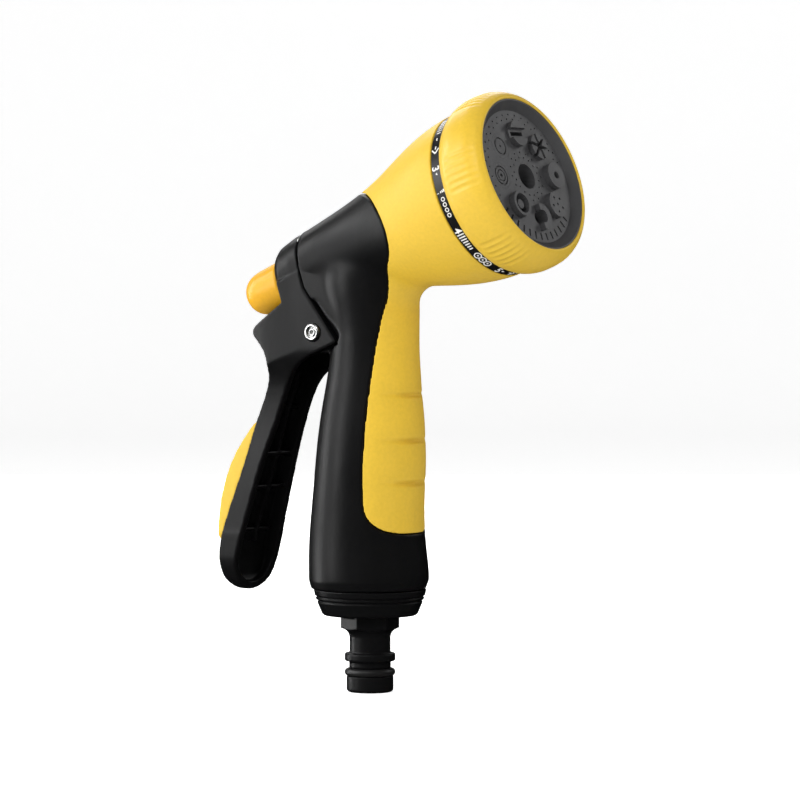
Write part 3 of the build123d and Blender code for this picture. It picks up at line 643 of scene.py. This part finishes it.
# floor that sweeps up into a wall behind the object, in metres
FLOOR_NEAR = -3.0
FLOOR_FAR = 2.2
SWEEP = 1.2
SWEEP_STEPS = 12
WALL_TOP = 5.0
HALF_WIDTH = 6.0
profile = [(FLOOR_NEAR, 0.0), (FLOOR_FAR, 0.0)]
for step in range(1, SWEEP_STEPS + 1):
    turn = step / SWEEP_STEPS * math.pi / 2
    profile.append((FLOOR_FAR + SWEEP * math.sin(turn), SWEEP - SWEEP * math.cos(turn)))
profile.append((FLOOR_FAR + SWEEP, WALL_TOP))
floor_mesh = bpy.data.meshes.new("studio_floor")
floor_vertices = []
for depth, height in profile:
    for side in (-HALF_WIDTH, HALF_WIDTH):
        floor_vertices.append(-back * depth + right * side + Vector((0, 0, height)))
floor_faces = [(2 * k, 2 * k + 1, 2 * k + 3, 2 * k + 2) for k in range(len(profile) - 1)]
floor_mesh.from_pydata([tuple(v) for v in floor_vertices], [], floor_faces)
floor_mesh.polygons.foreach_set("use_smooth", [True] * len(floor_mesh.polygons))
floor = bpy.data.objects.new("studio_floor", floor_mesh)
scene.collection.objects.link(floor)
paper = Shader("studio_paper")
paper.link(paper.ramp(paper.noise(3.0), [(0.3, (0.86, 0.86, 0.86)), (0.7, (0.88, 0.88, 0.88))]),
           paper.bsdf.inputs["Base Color"])
paper.bsdf.inputs["Roughness"].default_value = 0.9
paper.bsdf.inputs["Emission Color"].default_value = (1.0, 1.0, 1.0, 1.0)
# the paper glows to the lens only, so that it stays pale without lighting the object from below
FLOOR_GLOW = 0.70
seen = paper.node("ShaderNodeLightPath")
glow = paper.node("ShaderNodeMath", operation="MULTIPLY")
glow.inputs[1].default_value = FLOOR_GLOW
paper.link(seen.outputs["Is Camera Ray"], glow.inputs[0])
paper.link(glow.outputs["Value"], paper.bsdf.inputs["Emission Strength"])
dress(floor, paper.material)
floor.visible_glossy = False

world = bpy.data.worlds.new("studio_world")
scene.world = world
world.use_nodes = True
world.node_tree.nodes["Background"].inputs["Color"].default_value = (1.0, 1.0, 1.0, 1.0)
world.node_tree.nodes["Background"].inputs["Strength"].default_value = 0.24
world.cycles_visibility.glossy = False


def soft_light(name, place, size, power, glossy):
    """A rectangular soft light. Broad ones are kept out of reflections, so black plastic stays black."""
    lamp = bpy.data.lights.new(name, "AREA")
    lamp.shape = "RECTANGLE"
    lamp.size, lamp.size_y = size
    lamp.energy = power
    holder = bpy.data.objects.new(name, lamp)
    scene.collection.objects.link(holder)
    holder.location = place
    holder.rotation_mode = "QUATERNION"
    holder.rotation_quaternion = (AIM - place).to_track_quat("-Z", "Y")
    holder.visible_glossy = glossy


# Each light: name, distances from the aim towards the camera, to the right and up, size, watts,
# and whether it shows in reflections
AIM = Vector((0.0, 0.0, 0.11))
LIGHTS = [
    ("strip", 0.25, -0.95, 0.30, (0.22, 0.9), 5.5, True),
    ("edge", -0.40, -0.95, 0.15, (0.16, 1.0), 4.8, True),
    ("sheen", -0.35, 0.85, 0.42, (0.35, 0.35), 0.8, True),
    ("gloss", 0.9, -0.35, 0.75, (0.25, 0.5), 2.2, True),
    ("key", 1.3, -0.9, 0.65, (0.8, 0.8), 11.5, False),
    ("fill", 0.9, 0.8, 0.1, (0.7, 0.9), 6, False),
    ("top", 0.0, 0.0, 1.1, (0.9, 0.9), 1.5, False),
    ("rear", -0.8, -0.1, 0.6, (0.7, 0.5), 3.5, True),
    ("rear_fill", -1.3, 0.0, 0.35, (1.0, 0.8), 9, False),
]
for name, toward, aside, above, size, power, glossy in LIGHTS:
    place = AIM + back * toward + right * aside + Vector((0, 0, above))
    soft_light(name, place, size, power, glossy)

# ---------------------------------------------------------------- camera
CAMERA_DISTANCE = 1.2
CAMERA_HEIGHT = 0.12758
PITCH = math.radians(-1.64)
YAW = math.radians(0.457)
SENSOR = 36.0                       # millimetres
FOCAL_PIXELS = 3762.79
FRAME_PIXELS = 800
forward = -back * math.cos(PITCH) + Vector((0, 0, math.sin(PITCH)))
forward = forward * math.cos(YAW) + right * math.sin(YAW)
lens = bpy.data.cameras.new("camera")
lens.sensor_width = SENSOR
lens.lens = FOCAL_PIXELS / FRAME_PIXELS * SENSOR
lens.clip_start = 0.05
camera = bpy.data.objects.new("camera", lens)
scene.collection.objects.link(camera)
camera.location = back * CAMERA_DISTANCE + Vector((0, 0, CAMERA_HEIGHT))
camera.rotation_mode = "QUATERNION"
camera.rotation_quaternion = forward.to_track_quat("-Z", "Y")
scene.camera = camera
